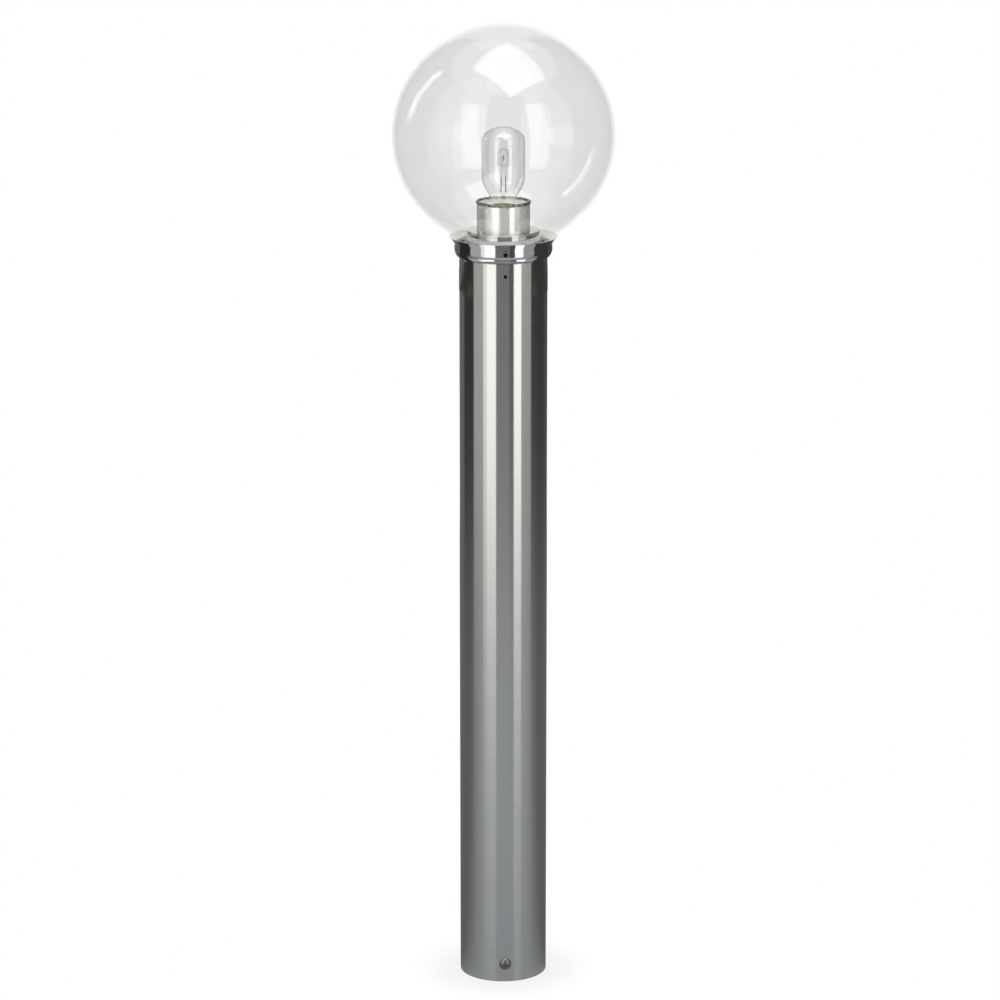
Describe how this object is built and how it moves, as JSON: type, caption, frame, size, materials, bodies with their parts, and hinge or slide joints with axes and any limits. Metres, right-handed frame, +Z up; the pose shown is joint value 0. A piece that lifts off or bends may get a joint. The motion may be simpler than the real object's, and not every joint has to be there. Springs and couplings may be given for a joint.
{
  "type": "bollard light",
  "caption": "Steel tube bollard light with a clear glass globe on a flared collar, a screw-in lamp and a connection box in the foot.",
  "frame": {"origin": "on the ground under the post's axis", "axes": "+Z up along the post, one of each three fasteners faces -Y"},
  "size_m": [0.2499, 0.2498, 1.11],
  "materials": {
    "satin_tube": "satin ground stainless steel",
    "polished_steel": "polished stainless steel",
    "cast_aluminium": "as cast, turned on the fits",
    "plate_steel": "plain stainless plate",
    "screw_steel": "plain stainless screws",
    "dark_bead": "blackened metal bead",
    "brass": "turned brass",
    "globe_glass": "clear mouth-blown glass",
    "lamp_glass": "clear lamp glass",
    "cap_aluminium": "rolled lamp cap",
    "black_glass": "black cap glass",
    "solder": "tinned contact",
    "lamp_wire": "drawn lamp wire",
    "silicone": "translucent silicone",
    "black_rubber": "moulded rubber",
    "red_seal": "moulded gland seal",
    "porcelain": "glazed porcelain",
    "box_plastic": "moulded housing plastic",
    "gland_plastic": "moulded nylon",
    "terminal_plastic": "moulded terminal plastic",
    "lead_sheath": "extruded cable sheath",
    "brown_core": "core insulation",
    "blue_core": "core insulation",
    "green_core": "core insulation"
  },
  "bodies": {
    "root": {"post_tube": "satin_tube", "base_plate": "plate_steel", "foot_screws": "screw_steel", "earth_nuts": "brass", "earth_washers": "brass", "box_bracket": "plate_steel", "bracket_screws": "screw_steel", "box_shell": "box_plastic", "box_gasket": "black_rubber", "box_lid": "box_plastic", "lid_screws": "screw_steel", "box_screws": "screw_steel", "terminal_block": "terminal_plastic", "terminal_clamps": "brass", "terminal_screws": "screw_steel", "gland_bodies": "gland_plastic", "gland_nuts": "gland_plastic", "gland_seals": "red_seal", "gland_locknuts": "gland_plastic", "lamp_lead": "lead_sheath", "live_core": "brown_core", "neutral_core": "blue_core", "earth_core": "green_core", "head_adapter": "cast_aluminium", "head_screws": "screw_steel", "deck_grommet": "black_rubber", "collar": "polished_steel", "collar_bolts": "screw_steel", "globe_seal": "silicone", "carrier_pot": "polished_steel", "earth_screw": "brass", "holder_cup": "polished_steel", "rim_ring": "dark_bead", "holder_body": "porcelain", "holder_shell": "brass", "holder_contact": "brass", "holder_terminals": "brass", "holder_set_screws": "screw_steel", "holder_screws": "screw_steel", "holder_nuts": "screw_steel"},
    "globe": {"globe": "globe_glass"},
    "globe_screw_1": {"globe_screw_1": "screw_steel"},
    "globe_screw_2": {"globe_screw_2": "screw_steel"},
    "globe_screw_3": {"globe_screw_3": "screw_steel"},
    "lamp_contact": {"lamp_contact": "solder"},
    "lamp": {"lamp_cap": "cap_aluminium", "lamp_insulator": "black_glass", "lamp_envelope": "lamp_glass", "lamp_capsule": "lamp_glass", "lamp_filament": "lamp_wire", "lamp_stem": "lamp_glass", "lamp_supports": "lamp_wire"}
  },
  "joints": [
    {"name": "globe_lift", "type": "slide", "parent": "root", "child": "globe", "axis": [0, 0, 1], "range_m": [0, 0.16]},
    {"name": "globe_screw_1_back_off", "type": "slide", "parent": "root", "child": "globe_screw_1", "axis": [0, -1, 0], "range_m": [0, 0.004]},
    {"name": "globe_screw_2_back_off", "type": "slide", "parent": "root", "child": "globe_screw_2", "axis": [0.866, 0.5, 0], "range_m": [0, 0.004]},
    {"name": "globe_screw_3_back_off", "type": "slide", "parent": "root", "child": "globe_screw_3", "axis": [-0.866, 0.5, 0], "range_m": [0, 0.004]},
    {"name": "lamp_lift", "type": "slide", "parent": "root", "child": "lamp_contact", "axis": [0, 0, 1], "range_m": [0, 0.0182]},
    {"name": "lamp_turn", "type": "hinge", "parent": "lamp_contact", "child": "lamp", "pos_m": [0, 0, 0.848], "axis": [0, 0, 1], "range_deg": [0, 1800]}
  ],
  "couplings": [
    {"joint": "lamp_lift", "follows": "lamp_turn", "m_per_rad": 0.00057614}
  ]
}
